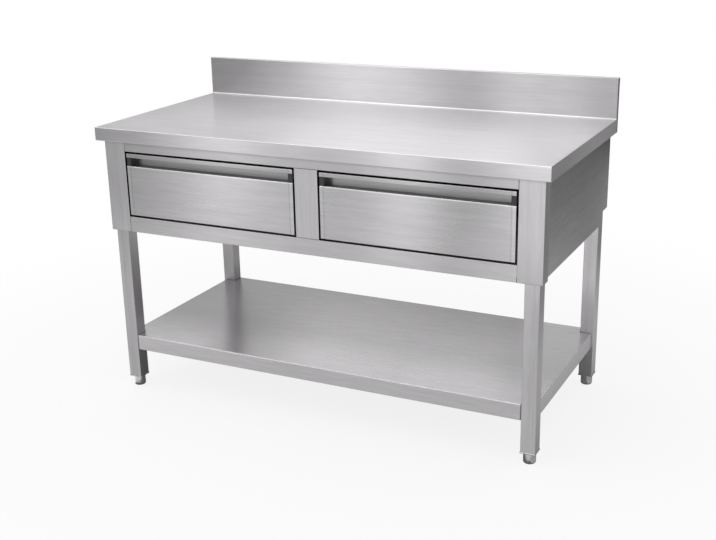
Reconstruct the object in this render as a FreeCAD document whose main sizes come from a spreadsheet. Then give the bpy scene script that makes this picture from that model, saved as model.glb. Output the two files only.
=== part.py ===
"""Stainless steel work table: worktop with upstand, two drawers, undershelf and four square legs.

Millimetres. +X along the length (right), +Y towards the back, +Z up.
The origin is on the floor, under the middle of the table.
"""
import FreeCAD, Part
import os
import re
import Sketcher

# Driving sizes

SIZES = {
    # overall
    "table_length": 1500,
    "table_depth": 700,
    "worktop_height": 900,
    "upstand_height": 130,
    "upstand_depth": 15,
    "worktop_edge": 42,
    "side_overhang": 20,
    "front_overhang": 20,
    "rear_setback": 2,
    # worktop
    "worktop_gauge": 1.5,
    "fold_share": 0.93,
    "worktop_lip": 15,
    "upstand_return": 25,
    "upstand_base_radius": 5,
    "stiffener_height": 20,
    "stiffener_crown": 60,
    "stiffener_flange": 20,
    "stiffener_gauge": 1.2,
    "stiffener_plate_gap": 21,
    "stiffener_end_gap": 45,
    # cabinet
    "cabinet_gauge": 1.2,
    "top_rail_show": 33,
    "opening_height": 214,
    "bottom_rail_height": 51,
    "corner_post_width": 75,
    "middle_post_width": 78,
    "post_side_return": 45,
    "seam_gap": 0.7,
    "panel_rise": 12,
    "panel_flange": 20,
    "panel_notch_height": 40,
    "panel_notch_length": 60,
    "rear_panel_gauge": 1,
    "rear_panel_inset": 2,
    "rear_rail_height": 50,
    "rear_rail_depth": 25,
    # legs and feet
    "leg_size": 45,
    "leg_wall": 1.5,
    "leg_inset": 10,
    "top_plate_size": 80,
    "top_plate_gauge": 3,
    "plug_flange": 3,
    "plug_proud": 1.2,
    "plug_depth": 28,
    "plug_fit_gap": 0.1,
    "plug_wall": 3,
    "foot_diameter": 38,
    "foot_height": 36,
    "foot_round": 7,
    "foot_top_bevel": 1.5,
    "stud_diameter": 12,
    "stud_length": 48,
    "stud_gap": 0.3,
    # undershelf
    "shelf_height": 190,
    "shelf_edge": 50,
    "shelf_gauge": 1.2,
    "shelf_lip": 12,
    "shelf_leg_gap": 1,
    "shelf_front_inset": 1,
    "shelf_side_inset": 7,
    "shelf_stiffener_pitch": 220,
    "bolt_diameter": 6,
    "bolt_hole_gap": 0.3,
    "bolt_head_width": 10,
    "bolt_head_height": 4,
    "bolt_drop": 28,
    "nut_height": 5,
    # drawers
    "drawer_gauge": 1.2,
    "drawer_gap": 6,
    "grip_strip": 13,
    "grip_gap": 28,
    "grip_depth": 30,
    "grip_cap_width": 15,
    "grip_cap_wall": 2,
    "grip_cap_setback": 1.5,
    "box_side_gap": 18,
    "box_rear_gap": 64.8,
    "box_bottom_rise": 12,
    "box_top_drop": 27,
    "box_hem": 9,
    # runners
    "runner_space": 13,
    "runner_height": 45,
    "runner_gauge": 1.2,
    "runner_end_gap": 3,
    "runner_drop": 4,
    "outer_ball_diameter": 4,
    "inner_ball_diameter": 3.6,
    "ball_clearance": 0.3,
    "ball_pitch": 40,
    "cage_gauge": 0.8,
    "cage_share": 0.45,
    "runner_rail_height": 60,
    "runner_rail_gauge": 1.5,
    "runner_screw_diameter": 4,
    "runner_screw_head": 8,
    "runner_screw_head_height": 2,
    "runner_screw_gap": 0.2,
    "runner_screw_inset": 35,
}

# Places worked out from the sizes

PLACES = {
    "worktop_fold": "worktop_gauge * fold_share",
    "cabinet_fold": "cabinet_gauge * fold_share",
    "shelf_fold": "shelf_gauge * fold_share",
    "drawer_fold": "drawer_gauge * fold_share",
    "leg_fold": "leg_wall * fold_share",
    "top_x": "table_length / 2",
    "back_y": "table_depth / 2",
    "front_y": "-table_depth / 2",
    "upstand_y": "table_depth / 2 - upstand_depth",
    "top_under": "worktop_height - worktop_gauge",
    "edge_bottom": "worktop_height - worktop_edge",
    "upstand_top": "worktop_height + upstand_height",
    "cabinet_x": "table_length / 2 - side_overhang",
    "cabinet_front": "-table_depth / 2 + front_overhang",
    "cabinet_back": "table_depth / 2 - rear_setback",
    "cabinet_top": "worktop_height - worktop_gauge - top_plate_gauge",
    "opening_top": "edge_bottom - top_rail_show",
    "opening_bottom": "opening_top - opening_height",
    "cabinet_bottom": "opening_bottom - bottom_rail_height",
    "post_x": "cabinet_x - corner_post_width",
    "post_back": "cabinet_front + post_side_return",
    "opening_x": "middle_post_width / 2",
    "panel_back": "cabinet_back - rear_panel_gauge",
    "panel_bottom": "cabinet_bottom + panel_rise",
    "leg_outer_x": "cabinet_x - leg_inset",
    "leg_inner_x": "cabinet_x - leg_inset - leg_size",
    "leg_middle_x": "cabinet_x - leg_inset - leg_size / 2",
    "leg_front": "cabinet_front + leg_inset",
    "leg_back": "cabinet_back - leg_inset",
    "front_leg_y": "cabinet_front + leg_inset + leg_size / 2",
    "rear_leg_y": "cabinet_back - leg_inset - leg_size / 2",
    "leg_bottom": "foot_height + plug_flange",
    "legs_middle_y": "(leg_front + leg_back) / 2",
    "plate_reach": "top_plate_size + stiffener_plate_gap + stiffener_flange",
    "worktop_stiffener_pitch": "(leg_back - leg_front - stiffener_crown) / 2 - plate_reach",
    "shelf_x": "leg_outer_x - shelf_side_inset",
    "shelf_front": "leg_front + shelf_front_inset",
    "shelf_back": "leg_back - shelf_front_inset",
    "shelf_bottom": "shelf_height - shelf_edge",
    "shelf_under": "shelf_height - shelf_gauge",
    "notch_x": "leg_inner_x - shelf_leg_gap",
    "notch_front": "leg_front + leg_size + shelf_leg_gap",
    "notch_back": "leg_back - leg_size - shelf_leg_gap",
    "bolt_level": "shelf_height - bolt_drop",
    "drawer_x": "(opening_x + post_x) / 2",
    "front_x": "(post_x - opening_x) / 2 - drawer_gap",
    "front_bottom": "opening_bottom + drawer_gap",
    "front_top": "opening_top - drawer_gap",
    "grip_top": "front_top - grip_strip",
    "grip_bottom": "front_top - grip_strip - grip_gap",
    "grip_back": "cabinet_front + grip_depth",
    "frame_back": "grip_back + drawer_gap",
    "box_x": "(post_x - opening_x) / 2 - box_side_gap",
    "box_front": "grip_back + drawer_gauge",
    "box_back": "rear_rail_front - box_rear_gap",
    "box_bottom": "front_bottom + box_bottom_rise",
    "box_top": "front_top - box_top_drop",
    "runner_x": "box_x + runner_space",
    "runner_front": "box_front + runner_end_gap",
    "runner_length": "box_back - box_front - 2 * runner_end_gap",
    "runner_level": "(box_bottom + box_top) / 2 - runner_drop",
    "cage_length": "runner_length * cage_share",
    "rail_bottom": "runner_level - runner_rail_height / 2",
    "rail_top": "runner_level + runner_rail_height / 2",
    "side_rail_x": "drawer_x + runner_x",
    "centre_rail_x": "drawer_x - runner_x",
    "rear_rail_front": "panel_back - rear_rail_depth",
    "middle_half": "runner_height / 2 - runner_gauge - outer_ball_diameter - 2 * ball_clearance",
    "inner_half": "middle_half - runner_gauge - inner_ball_diameter - 2 * ball_clearance",
    "outer_ball_rise": "runner_height / 2 - runner_gauge - ball_clearance - outer_ball_diameter / 2",
    "inner_ball_rise": "middle_half - runner_gauge - ball_clearance - inner_ball_diameter / 2",
    "runner_step": "runner_gauge + 3 * ball_clearance",
}

SIDES = {"left": -1, "right": 1}

TINY = 1e-6

doc = FreeCAD.newDocument("work_table")


def make_sheet(name, cells):
    """A spreadsheet with one named value in each row."""
    sheet = doc.addObject("Spreadsheet::Sheet", name)
    for row, (alias, content) in enumerate(cells.items(), start=1):
        sheet.set("A%d" % row, alias.replace("_", " "))
        sheet.set("B%d" % row, content)
        sheet.setAlias("B%d" % row, alias)
    return sheet


def bound(text):
    """The expression with each named value prefixed by the sheet that holds it."""
    def prefixed(match):
        word = match.group(0)
        if word in SIZES:
            return "sizes." + word
        if word in PLACES:
            return "places." + word
        return word
    return re.sub(r"[a-z_]+", prefixed, text)


sizes = make_sheet("sizes", {alias: str(number) for alias, number in SIZES.items()})
doc.recompute()
places = make_sheet("places", {})
for row, (alias, formula) in enumerate(PLACES.items(), start=1):
    places.set("A%d" % row, alias.replace("_", " "))
    places.set("B%d" % row, "=" + re.sub(r"places\.", "", bound(formula)))
    places.setAlias("B%d" % row, alias)
doc.recompute()

pieces = []


# Building blocks

def span(side, near, far):
    """The lowest and highest X of a stretch that is measured outwards from the middle."""
    if SIDES[side] > 0:
        return (near, far)
    return ("-(%s)" % far, "-(%s)" % near)


def centred(half):
    """A stretch as far to one side of the middle as to the other."""
    return ("-(%s)" % half, half)


def block(x, y, z):
    """A rectangular block between the given expressions on each axis."""
    box = doc.addObject("Part::Box", "block")
    for prop, (low, high) in zip(("Length", "Width", "Height"), (x, y, z)):
        box.setExpression(prop, bound("(%s) - (%s)" % (high, low)))
    for axis, (low, high) in zip("xyz", (x, y, z)):
        box.setExpression("Placement.Base." + axis, bound(low))
    return box


def rod(axis, diameter, start, length, x, y, z):
    """A cylinder along +X, +Y or +Z that starts at the given offset along its axis."""
    cylinder = doc.addObject("Part::Cylinder", "rod")
    cylinder.setExpression("Radius", bound("(%s) / 2" % diameter))
    cylinder.setExpression("Height", bound(length))
    turns = {"x": (0, 90, 0), "y": (0, 0, -90), "z": (0, 0, 0)}
    cylinder.Placement = FreeCAD.Placement(FreeCAD.Vector(), FreeCAD.Rotation(*turns[axis]))
    base = {"x": x, "y": y, "z": z}
    base[axis] = "(%s) + (%s)" % (base[axis], start)
    for name, place in base.items():
        cylinder.setExpression("Placement.Base." + name, bound(place))
    return cylinder


def joined(solids):
    """One solid from several that touch or overlap."""
    if len(solids) == 1:
        return solids[0]
    fusion = doc.addObject("Part::MultiFuse", "joined")
    fusion.Shapes = solids
    fusion.Refine = True
    return fusion


def without(solid, cutters):
    """The solid with the cutters taken away."""
    cut = doc.addObject("Part::Cut", "cut")
    cut.Base = solid
    cut.Tool = joined(cutters)
    cut.Refine = True
    return cut


def grouped(solids):
    """Separate solids kept together as one sub-part."""
    group = doc.addObject("Part::Compound", "group")
    group.Links = solids
    return group


def rounded(solid, radius, wanted):
    """The solid with a fillet on each edge that the wanted test picks."""
    doc.recompute()
    amount = measure(radius)
    chosen = [number for number, edge in enumerate(solid.Shape.Edges, start=1) if wanted(edge)]
    fillet = doc.addObject("Part::Fillet", "rounded")
    fillet.Base = solid
    fillet.Edges = [(number, amount, amount) for number in chosen]
    return fillet


def kept(label, solid):
    """Names a finished sub-part and keeps it for export."""
    solid.Label = label
    pieces.append(solid)
    return solid


def new_body(label):
    body = doc.addObject("PartDesign::Body", "body")
    body.Label = label
    return body


def plane_of(body, role):
    return next(item for item in body.Origin.OriginFeatures if item.Role == role)


def sketch_on(body, role, name):
    sketch = body.newObject("Sketcher::SketchObject", name)
    sketch.AttachmentSupport = [(plane_of(body, role), "")]
    sketch.MapMode = "FlatFace"
    return sketch


def outline(sketch, corners):
    """A closed outline of straight lines whose corners are bound to expressions."""
    count = len(corners)
    first = sketch.GeometryCount
    for index in range(count):
        start = FreeCAD.Vector(index, index * index, 0)
        following = (index + 1) % count
        end = FreeCAD.Vector(following, following * following, 0)
        sketch.addGeometry(Part.LineSegment(start, end), False)
    for index, (across, up) in enumerate(corners):
        line = first + index
        sketch.addConstraint(Sketcher.Constraint("Coincident", line, 2, first + (index + 1) % count, 1))
        for kind, expression in (("DistanceX", across), ("DistanceY", up)):
            number = sketch.addConstraint(Sketcher.Constraint(kind, -1, 1, line, 1, 1.0))
            sketch.setExpression("Constraints[%d]" % number, bound(expression))


def circle(sketch, diameter, across, up):
    ring = sketch.addGeometry(Part.Circle(FreeCAD.Vector(0, 0, 0), FreeCAD.Vector(0, 0, 1), 1.0), False)
    for kind, expression in (("DistanceX", across), ("DistanceY", up)):
        number = sketch.addConstraint(Sketcher.Constraint(kind, -1, 1, ring, 3, 1.0))
        sketch.setExpression("Constraints[%d]" % number, bound(expression))
    number = sketch.addConstraint(Sketcher.Constraint("Diameter", ring, 1.0))
    sketch.setExpression("Constraints[%d]" % number, bound(diameter))


def pad(body, sketch, length, middle=False, reversed_way=False):
    feature = body.newObject("PartDesign::Pad", "pad")
    feature.Profile = sketch
    feature.setExpression("Length", bound(length))
    feature.Midplane = middle
    feature.Reversed = reversed_way
    doc.recompute()
    return feature


def pocket(body, sketch, length, reversed_way):
    """A cut of the given depth, checked to have taken material away."""
    before = body.Shape.Volume
    feature = body.newObject("PartDesign::Pocket", "pocket")
    feature.Profile = sketch
    feature.setExpression("Length", bound(length))
    feature.Reversed = reversed_way
    doc.recompute()
    assert body.Shape.Volume < before, body.Label
    return feature


def dressed(body, kind, prop, amount, wanted):
    """A fillet or chamfer on the edges of the body's tip that the wanted test picks."""
    doc.recompute()
    tip = body.Tip
    names = ["Edge%d" % n for n, edge in enumerate(tip.Shape.Edges, start=1) if wanted(edge)]
    feature = body.newObject(kind, "dressed")
    feature.Base = (tip, names)
    feature.setExpression(prop, bound(amount))
    doc.recompute()
    return feature


def placed(body, x, y, z):
    for name, place in zip("xyz", (x, y, z)):
        body.setExpression("Placement.Base." + name, bound(place))
    return kept(body.Label, body)


def runs_along(edge, axis):
    """Whether an edge is straight and parallel to the named axis."""
    if edge.Curve.TypeId != "Part::GeomLine":
        return False
    direction = edge.Curve.Direction
    return abs(abs(getattr(direction, axis)) - 1) < TINY


def measure(name):
    return sizes.get(name) if name in SIZES else places.get(name)


def at(edge, **place):
    """Whether the middle of an edge lies at the given places, on either side of X."""
    middle = edge.BoundBox.Center
    found = {"x": abs(middle.x), "y": middle.y, "z": middle.z}
    return all(abs(found[axis] - measure(name)) < TINY for axis, name in place.items())


# Worktop

def worktop():
    """One folded sheet: the top, its turned-down edges with lips, and the upstand at the back."""
    wide = centred("top_x")
    edge = ("edge_bottom", "worktop_height")
    lip = ("edge_bottom", "edge_bottom + worktop_gauge")
    deep = ("front_y", "upstand_y + worktop_gauge")
    plates = [
        block(wide, deep, ("top_under", "worktop_height")),
        block(wide, ("front_y", "front_y + worktop_gauge"), edge),
        block(wide, ("front_y", "front_y + worktop_lip"), lip),
        block(wide, ("upstand_y", "upstand_y + worktop_gauge"), ("top_under", "upstand_top")),
        block(wide, ("upstand_y", "back_y"), ("upstand_top - worktop_gauge", "upstand_top")),
        block(wide, ("back_y - worktop_gauge", "back_y"),
              ("upstand_top - upstand_return", "upstand_top")),
    ]
    for side in SIDES:
        plates.append(block(span(side, "top_x - worktop_gauge", "top_x"), deep, edge))
        plates.append(block(span(side, "top_x - worktop_lip", "top_x"), deep, lip))
    sheet = joined(plates)
    sheet = rounded(sheet, "upstand_base_radius", lambda edge: runs_along(edge, "x")
                    and at(edge, y="upstand_y", z="worktop_height"))
    kept("worktop", rounded(sheet, "worktop_fold", on_worktop_rim))


def on_worktop_rim(edge):
    """The folds that show: around the top, down the front corners and along the upstand."""
    if runs_along(edge, "x"):
        return (at(edge, y="front_y", z="worktop_height") or at(edge, y="front_y", z="edge_bottom")
                or at(edge, y="upstand_y", z="upstand_top") or at(edge, y="back_y", z="upstand_top"))
    if runs_along(edge, "y"):
        return at(edge, x="top_x", z="worktop_height")
    return runs_along(edge, "z") and at(edge, x="top_x", y="front_y")


def upstand_ends():
    """The plates welded into both ends of the upstand."""
    caps = [block(span(side, "top_x - worktop_gauge", "top_x"),
                  ("upstand_y + worktop_gauge", "back_y - worktop_gauge"),
                  ("edge_bottom", "upstand_top - worktop_gauge")) for side in SIDES]
    kept("upstand_ends", grouped(caps))


def hat_stiffener(label, y, top, length_half):
    """A hat-section channel along X whose flanges lie against the sheet above it."""
    body = new_body(label)
    sketch = sketch_on(body, "YZ_Plane", "hat_outline")
    crown = "stiffener_crown / 2"
    brim = "stiffener_crown / 2 + stiffener_flange"
    inner = "stiffener_crown / 2 - stiffener_gauge"
    outline(sketch, [
        ("-(%s)" % brim, "0"), ("-(%s)" % inner, "0"),
        ("-(%s)" % inner, "stiffener_gauge - stiffener_height"),
        (inner, "stiffener_gauge - stiffener_height"),
        (inner, "0"), (brim, "0"), (brim, "-stiffener_gauge"), (crown, "-stiffener_gauge"),
        (crown, "-stiffener_height"), ("-(%s)" % crown, "-stiffener_height"),
        ("-(%s)" % crown, "-stiffener_gauge"), ("-(%s)" % brim, "-stiffener_gauge"),
    ])
    pad(body, sketch, "2 * (%s)" % length_half, middle=True)
    placed(body, "0", y, top)


def worktop_stiffeners():
    for name, place in (("front", "legs_middle_y - worktop_stiffener_pitch"), ("middle", "legs_middle_y"),
                        ("rear", "legs_middle_y + worktop_stiffener_pitch")):
        hat_stiffener("worktop_stiffener_" + name, place, "top_under", "cabinet_x - stiffener_end_gap")


# Cabinet frame

def corner_posts():
    """Folded covers that wrap the front legs and frame the outer sides of the openings."""
    tall = ("cabinet_bottom", "cabinet_top")
    skin = ("cabinet_front", "cabinet_front + cabinet_gauge")
    for side in SIDES:
        folds = [
            block(span(side, "post_x", "cabinet_x"), skin, tall),
            block(span(side, "cabinet_x - cabinet_gauge", "cabinet_x"), ("cabinet_front", "post_back"), tall),
            block(span(side, "leg_outer_x", "cabinet_x"), ("post_back - cabinet_gauge", "post_back"), tall),
            block(span(side, "post_x", "post_x + cabinet_gauge"), ("cabinet_front", "frame_back"), tall),
            block(span(side, "post_x", "leg_inner_x"), ("frame_back - cabinet_gauge", "frame_back"), tall),
        ]
        kept("corner_post_" + side, rounded(joined(folds), "cabinet_fold", on_post_folds))


def on_post_folds(edge):
    """The upright folds that face forwards."""
    return runs_along(edge, "z") and any(at(edge, x=place, y="cabinet_front")
                                         for place in ("cabinet_x", "post_x", "opening_x"))


def middle_post():
    """The folded upright between the two openings."""
    tall = ("opening_bottom + seam_gap", "opening_top - seam_gap")
    deep = ("cabinet_front", "frame_back")
    folds = [block(centred("opening_x"), ("cabinet_front", "cabinet_front + cabinet_gauge"), tall)]
    folds += [block(span(side, "opening_x - cabinet_gauge", "opening_x"), deep, tall) for side in SIDES]
    kept("middle_post", rounded(joined(folds), "cabinet_fold", on_post_folds))


def front_rail(label, low, high):
    """A channel between the corner posts, open to the back, above or below the drawers."""
    wide = centred("post_x - seam_gap")
    folds = [
        block(wide, ("cabinet_front", "cabinet_front + cabinet_gauge"), (low, high)),
        block(wide, ("cabinet_front", "frame_back"), (low, "%s + cabinet_gauge" % low)),
        block(wide, ("cabinet_front", "frame_back"), ("%s - cabinet_gauge" % high, high)),
    ]
    kept(label, rounded(joined(folds), "cabinet_fold", lambda edge: runs_along(edge, "x")
                        and (at(edge, y="cabinet_front", z=low) or at(edge, y="cabinet_front", z=high))))


def side_panels():
    """Pans that close the ends, with flanges at the top, bottom, front and back.

    The lower back corner is notched round the rear leg.
    """
    notch_top = "panel_bottom + panel_notch_height"
    notch_front = "cabinet_back - panel_notch_length"
    for side in SIDES:
        flange = span(side, "cabinet_x - panel_flange", "cabinet_x")
        shallow = span(side, "leg_outer_x", "cabinet_x")
        front = "post_back + seam_gap"
        folds = [
            block(span(side, "cabinet_x - cabinet_gauge", "cabinet_x"), (front, "panel_back"),
                  ("panel_bottom", "cabinet_top")),
            block(shallow, (front, "panel_back"), ("cabinet_top - cabinet_gauge", "cabinet_top")),
            block(shallow, (front, "panel_back"), ("panel_bottom", "panel_bottom + cabinet_gauge")),
            block(shallow, (front, "%s + cabinet_gauge" % front), ("panel_bottom", "cabinet_top")),
            block(flange, ("panel_back - cabinet_gauge", "panel_back"), ("panel_bottom", "cabinet_top")),
        ]
        notch = block(flange, (notch_front, "cabinet_back"), ("panel_bottom", notch_top))
        kept("side_panel_" + side, without(joined(folds), [notch]))


def rear_panel():
    """The flat sheet that closes the back of the cabinet."""
    sheet = block(centred("cabinet_x - rear_panel_inset"), ("panel_back", "cabinet_back"),
                  ("panel_bottom + panel_notch_height", "cabinet_top"))
    kept("rear_panel", sheet)


def rear_rail(label, low, high):
    """A channel between the rear legs, open to the back, that stiffens the rear panel."""
    wide = centred("leg_inner_x")
    depth = ("rear_rail_front", "panel_back")
    folds = [
        block(wide, ("rear_rail_front", "rear_rail_front + cabinet_gauge"), (low, high)),
        block(wide, depth, (low, "%s + cabinet_gauge" % low)),
        block(wide, depth, ("%s - cabinet_gauge" % high, high)),
    ]
    kept(label, joined(folds))


# Legs and feet

CORNERS = [(end, side) for end in ("front", "rear") for side in SIDES]


def corner_place(end, side):
    """The axis of a leg in plan."""
    return ("%d * leg_middle_x" % SIDES[side], end + "_leg_y")


def square(half):
    return [("-(%s)" % half, "-(%s)" % half), (half, "-(%s)" % half), (half, half), ("-(%s)" % half, half)]


def leg(end, side):
    """A square tube with a hole for the shelf bolt in the wall that faces the middle."""
    body = new_body("leg_%s_%s" % (end, side))
    section = sketch_on(body, "XY_Plane", "tube_section")
    outline(section, square("leg_size / 2"))
    outline(section, square("leg_size / 2 - leg_wall"))
    pad(body, section, "cabinet_top - leg_bottom")
    corner = measure("leg_middle_x") - measure("leg_inner_x")
    dressed(body, "PartDesign::Fillet", "Radius", "leg_fold", lambda edge: runs_along(edge, "z")
            and abs(abs(edge.BoundBox.Center.x) - corner) < TINY)
    hole = sketch_on(body, "YZ_Plane", "bolt_hole")
    circle(hole, "bolt_diameter + 2 * bolt_hole_gap", "0", "bolt_level - leg_bottom")
    pocket(body, hole, "leg_size", reversed_way=SIDES[side] < 0)
    across, along = corner_place(end, side)
    placed(body, across, along, "leg_bottom")


def leg_top_plates():
    """The flat plates welded on the legs that carry the worktop."""
    depths = {"front": ("leg_front", "leg_front + top_plate_size"),
              "rear": ("leg_back - top_plate_size", "leg_back")}
    plates = [block(span(side, "leg_outer_x - top_plate_size", "leg_outer_x"), depths[end],
                    ("cabinet_top", "top_under")) for end, side in CORNERS]
    kept("leg_top_plates", grouped(plates))


def leg_plug(end, side):
    """The insert in a leg's end: a proud flange, a hollow core and a bored boss for the foot's stud."""
    body = new_body("leg_plug_%s_%s" % (end, side))
    outer = "leg_size / 2 - leg_wall - plug_fit_gap"
    flange = sketch_on(body, "XY_Plane", "flange_outline")
    outline(flange, square("leg_size / 2 + plug_proud"))
    pad(body, flange, "plug_flange")
    core = sketch_on(body, "XY_Plane", "core_outline")
    outline(core, square(outer))
    pad(body, core, "plug_flange + plug_depth")
    hollow = sketch_on(body, "XY_Plane", "hollow_outline")
    outline(hollow, square("%s - plug_wall" % outer))
    circle(hollow, "stud_diameter + 2 * stud_gap + 2 * plug_wall", "0", "0")
    hollow.setExpression("AttachmentOffset.Base.z", bound("plug_flange"))
    pocket(body, hollow, "plug_depth", reversed_way=True)
    bore = sketch_on(body, "XY_Plane", "stud_bore")
    circle(bore, "stud_diameter + 2 * stud_gap", "0", "0")
    pocket(body, bore, "plug_flange + plug_depth", reversed_way=True)
    across, along = corner_place(end, side)
    placed(body, across, along, "foot_height")


def foot(end, side):
    """A bullet foot turned in one piece with the stud that screws into the plug."""
    body = new_body("foot_%s_%s" % (end, side))
    section = sketch_on(body, "XZ_Plane", "turned_outline")
    outline(section, [
        ("0", "0"), ("foot_diameter / 2", "0"), ("foot_diameter / 2", "foot_height"),
        ("stud_diameter / 2", "foot_height"), ("stud_diameter / 2", "foot_height + stud_length"),
        ("0", "foot_height + stud_length"),
    ])
    turned = body.newObject("PartDesign::Revolution", "turned")
    turned.Profile = section
    turned.ReferenceAxis = (section, ["V_Axis"])
    doc.recompute()
    dressed(body, "PartDesign::Fillet", "Radius", "foot_round",
            lambda edge: edge.Closed and abs(edge.BoundBox.Center.z) < TINY)
    top = measure("foot_height")
    wide = measure("foot_diameter")
    dressed(body, "PartDesign::Chamfer", "Size", "foot_top_bevel",
            lambda edge: edge.Closed and abs(edge.BoundBox.Center.z - top) < TINY
            and abs(edge.BoundBox.XLength - wide) < TINY)
    across, along = corner_place(end, side)
    placed(body, across, along, "0")


# Undershelf

def undershelf():
    """One folded sheet, notched round the legs, with turned-down edges, lips and corner tabs."""
    edge = ("shelf_bottom", "shelf_height")
    lip = ("shelf_bottom", "shelf_bottom + shelf_gauge")
    plates = [
        block(centred("notch_x"), ("shelf_front", "shelf_back"), ("shelf_under", "shelf_height")),
        block(centred("shelf_x"), ("notch_front", "notch_back"), ("shelf_under", "shelf_height")),
        block(centred("notch_x"), ("shelf_front", "shelf_front + shelf_gauge"), edge),
        block(centred("notch_x"), ("shelf_front", "shelf_front + shelf_lip"), lip),
        block(centred("notch_x"), ("shelf_back - shelf_gauge", "shelf_back"), edge),
        block(centred("notch_x"), ("shelf_back - shelf_lip", "shelf_back"), lip),
    ]
    for side in SIDES:
        inner_tab = span(side, "notch_x - shelf_gauge", "notch_x")
        cross_tab = span(side, "notch_x - shelf_gauge", "shelf_x")
        plates += [
            block(span(side, "shelf_x - shelf_gauge", "shelf_x"), ("notch_front", "notch_back"), edge),
            block(span(side, "shelf_x - shelf_lip", "shelf_x"), ("notch_front", "notch_back"), lip),
            block(inner_tab, ("shelf_front", "notch_front + shelf_gauge"), edge),
            block(cross_tab, ("notch_front", "notch_front + shelf_gauge"), edge),
            block(inner_tab, ("notch_back - shelf_gauge", "shelf_back"), edge),
            block(cross_tab, ("notch_back - shelf_gauge", "notch_back"), edge),
        ]
    holes = []
    for end, side in CORNERS:
        across, along = corner_place(end, side)
        holes.append(rod("x", "bolt_diameter + 2 * bolt_hole_gap", "-shelf_lip", "2 * shelf_lip",
                         "%d * notch_x" % SIDES[side], along, "bolt_level"))
    shelf = without(joined(plates), holes)
    kept("undershelf", rounded(shelf, "shelf_fold", on_shelf_rim))


def on_shelf_rim(edge):
    if runs_along(edge, "x"):
        return at(edge, y="shelf_front", z="shelf_height") or at(edge, y="shelf_back", z="shelf_height")
    return runs_along(edge, "y") and at(edge, x="shelf_x", z="shelf_height")


def shelf_stiffeners():
    for name, place in (("front", "legs_middle_y - shelf_stiffener_pitch / 2"),
                        ("rear", "legs_middle_y + shelf_stiffener_pitch / 2")):
        hat_stiffener("shelf_stiffener_" + name, place, "shelf_under", "notch_x - stiffener_end_gap")


def shelf_bolts():
    """A hexagon bolt at each leg, through the shelf's tab and the leg's wall, with its nut in the leg."""
    fasteners = []
    for end, side in CORNERS:
        across, along = corner_place(end, side)
        sign = SIDES[side]
        tab = "%d * (notch_x - shelf_gauge)" % sign
        wall = "%d * (leg_inner_x + leg_wall)" % sign
        reach = "shelf_gauge + shelf_leg_gap + leg_wall + nut_height + bolt_hole_gap"
        head_start = "0" if sign < 0 else "-bolt_head_height"
        shank_start = "-(%s)" % reach if sign < 0 else "0"
        nut_start = "-nut_height" if sign < 0 else "0"
        head = hexagon("bolt_head_width", head_start, "bolt_head_height", tab, along, "bolt_level")
        shank = rod("x", "bolt_diameter", shank_start, reach, tab, along, "bolt_level")
        fasteners.append(joined([head, shank]))
        nut = hexagon("bolt_head_width", nut_start, "nut_height", wall, along, "bolt_level")
        thread = rod("x", "bolt_diameter + 2 * bolt_hole_gap", nut_start, "nut_height",
                     wall, along, "bolt_level")
        fasteners.append(without(nut, [thread]))
    kept("shelf_bolts_and_nuts", grouped(fasteners))


def hexagon(width, start, length, x, y, z):
    """A six-sided prism along +X, flat to flat as wide as given."""
    prism = doc.addObject("Part::Prism", "hexagon")
    prism.Polygon = 6
    prism.setExpression("Circumradius", bound("(%s) / (2 * cos(30 deg))" % width))
    prism.setExpression("Height", bound(length))
    prism.Placement = FreeCAD.Placement(FreeCAD.Vector(), FreeCAD.Rotation(0, 90, 0))
    for name, place in zip("xyz", ("(%s) + (%s)" % (x, start), y, z)):
        prism.setExpression("Placement.Base." + name, bound(place))
    return prism


# Drawers

def about(side, half):
    """A stretch centred on the middle of a drawer."""
    middle = "%d * drawer_x" % SIDES[side]
    return ("%s - (%s)" % (middle, half), "%s + (%s)" % (middle, half))


def edge_strips(side, outer, depth):
    """The two stretches of the given depth just inside the ends of a drawer's outer half width."""
    low, high = about(side, outer)
    return [(low, "%s + %s" % (low, depth)), ("%s - %s" % (high, depth), high)]


def drawer_front(side):
    """One folded sheet: the panel, the deep finger channel above it and the narrow strip at the top."""
    full = about(side, "front_x")
    skin = ("cabinet_front", "cabinet_front + drawer_gauge")
    deep = ("cabinet_front", "grip_back + drawer_gauge")
    panel = ("front_bottom", "grip_bottom")
    folds = [
        block(full, skin, panel),
        block(full, deep, ("front_bottom", "front_bottom + drawer_gauge")),
        block(full, deep, ("grip_bottom - drawer_gauge", "grip_bottom")),
        block(full, ("grip_back", "grip_back + drawer_gauge"), ("grip_bottom - drawer_gauge", "front_top")),
        block(full, deep, ("grip_top", "grip_top + drawer_gauge")),
        block(full, skin, ("grip_top", "front_top")),
        block(full, deep, ("front_top - drawer_gauge", "front_top")),
    ]
    folds += [block(strip, deep, panel) for strip in edge_strips(side, "front_x", "drawer_gauge")]
    kept("drawer_front_" + side, rounded(joined(folds), "drawer_fold", on_front_rim))


def on_front_rim(edge):
    """The long folds of the drawer front that face forwards."""
    levels = ("front_bottom", "grip_bottom", "grip_top", "front_top")
    return runs_along(edge, "x") and any(at(edge, y="cabinet_front", z=level) for level in levels)


def grip_end_caps(side):
    """A plastic moulding in each end of the finger channel, open at its back."""
    face = "cabinet_front + grip_cap_setback"
    caps = []
    for low, high in edge_strips(side, "front_x", "grip_cap_width"):
        body = block((low, high), (face, "grip_back"), ("grip_bottom", "grip_top"))
        hollow = block(("%s + grip_cap_wall" % low, "%s - grip_cap_wall" % high),
                       ("%s + grip_cap_wall" % face, "grip_back + grip_cap_wall"),
                       ("grip_bottom + grip_cap_wall", "grip_top - grip_cap_wall"))
        caps.append(without(body, [hollow]))
    kept("grip_end_caps_" + side, grouped(caps))


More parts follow.
